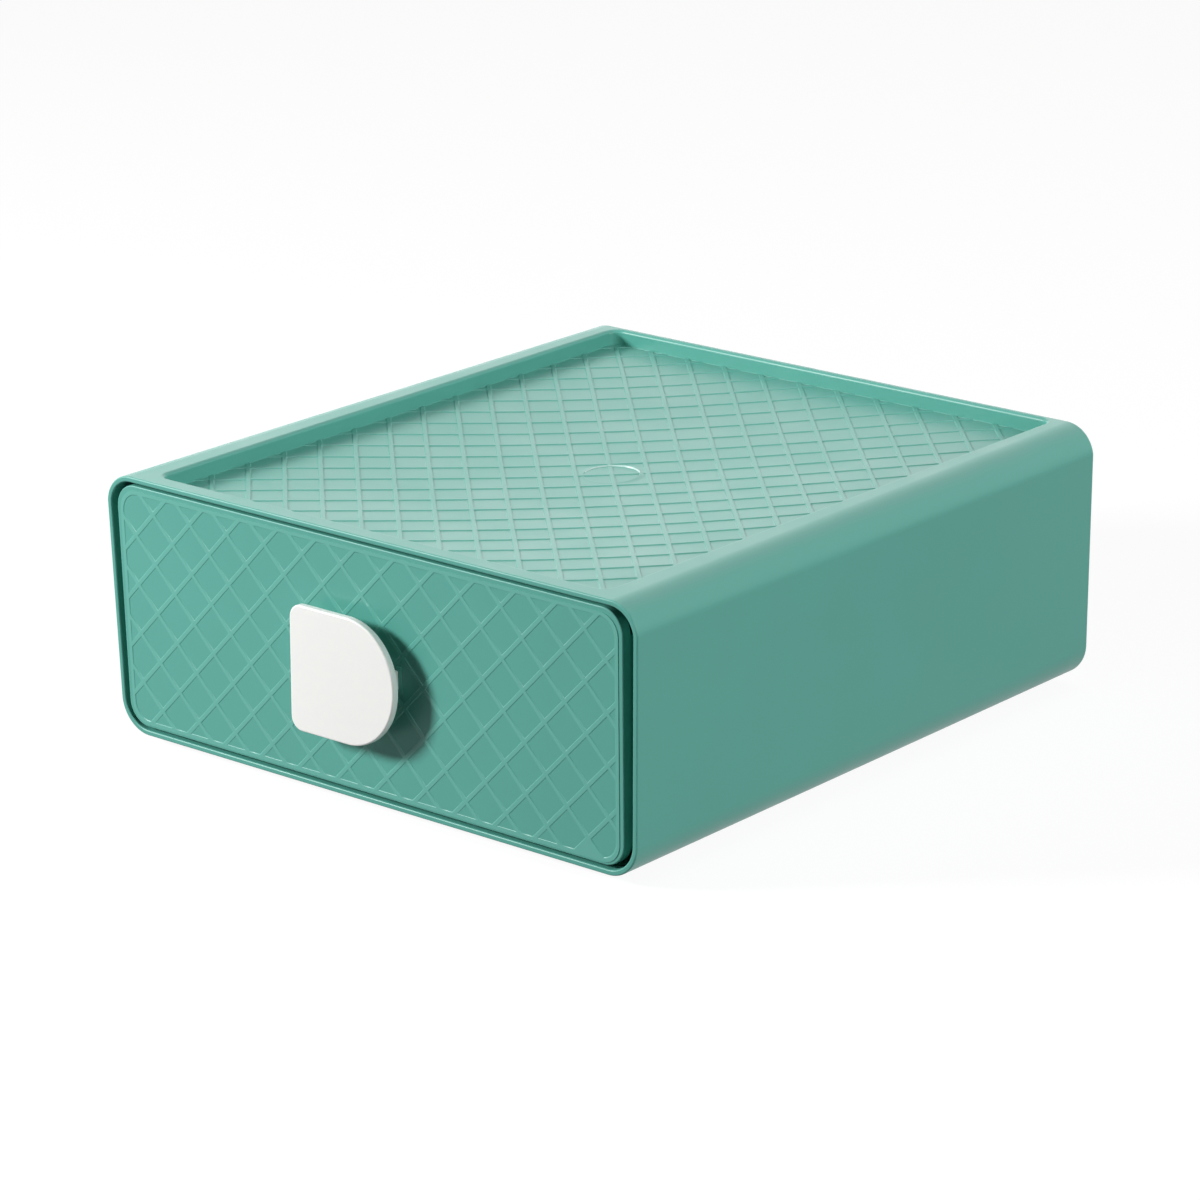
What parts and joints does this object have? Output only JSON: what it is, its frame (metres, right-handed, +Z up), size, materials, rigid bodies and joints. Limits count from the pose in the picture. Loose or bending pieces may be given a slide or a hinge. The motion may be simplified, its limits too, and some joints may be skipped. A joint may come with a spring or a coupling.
{
  "type": "stackable drawer box",
  "caption": "Low desktop drawer box with a recessed latticed top that another box stacks into, a slide-out tray drawer and a snap-in D-shaped handle.",
  "frame": {"origin": "middle of the footprint, handle included, on the surface that the feet stand on", "axes": "+X to the right as seen from the front, +Y to the back, +Z up; the drawer opens towards -Y"},
  "size_m": [0.18, 0.1934, 0.0725],
  "materials": {
    "casing_plastic": "satin moulded polypropylene, sea green",
    "drawer_plastic": "satin moulded polypropylene, sea green",
    "handle_plastic": "smooth moulded plastic, white"
  },
  "bodies": {
    "body": {"casing": "casing_plastic"},
    "drawer": {"drawer": "drawer_plastic", "handle": "handle_plastic"}
  },
  "joints": [
    {"name": "drawer_slide", "type": "slide", "parent": "body", "child": "drawer", "axis": [0, -1, 0], "range_m": [0, 0.15]}
  ]
}
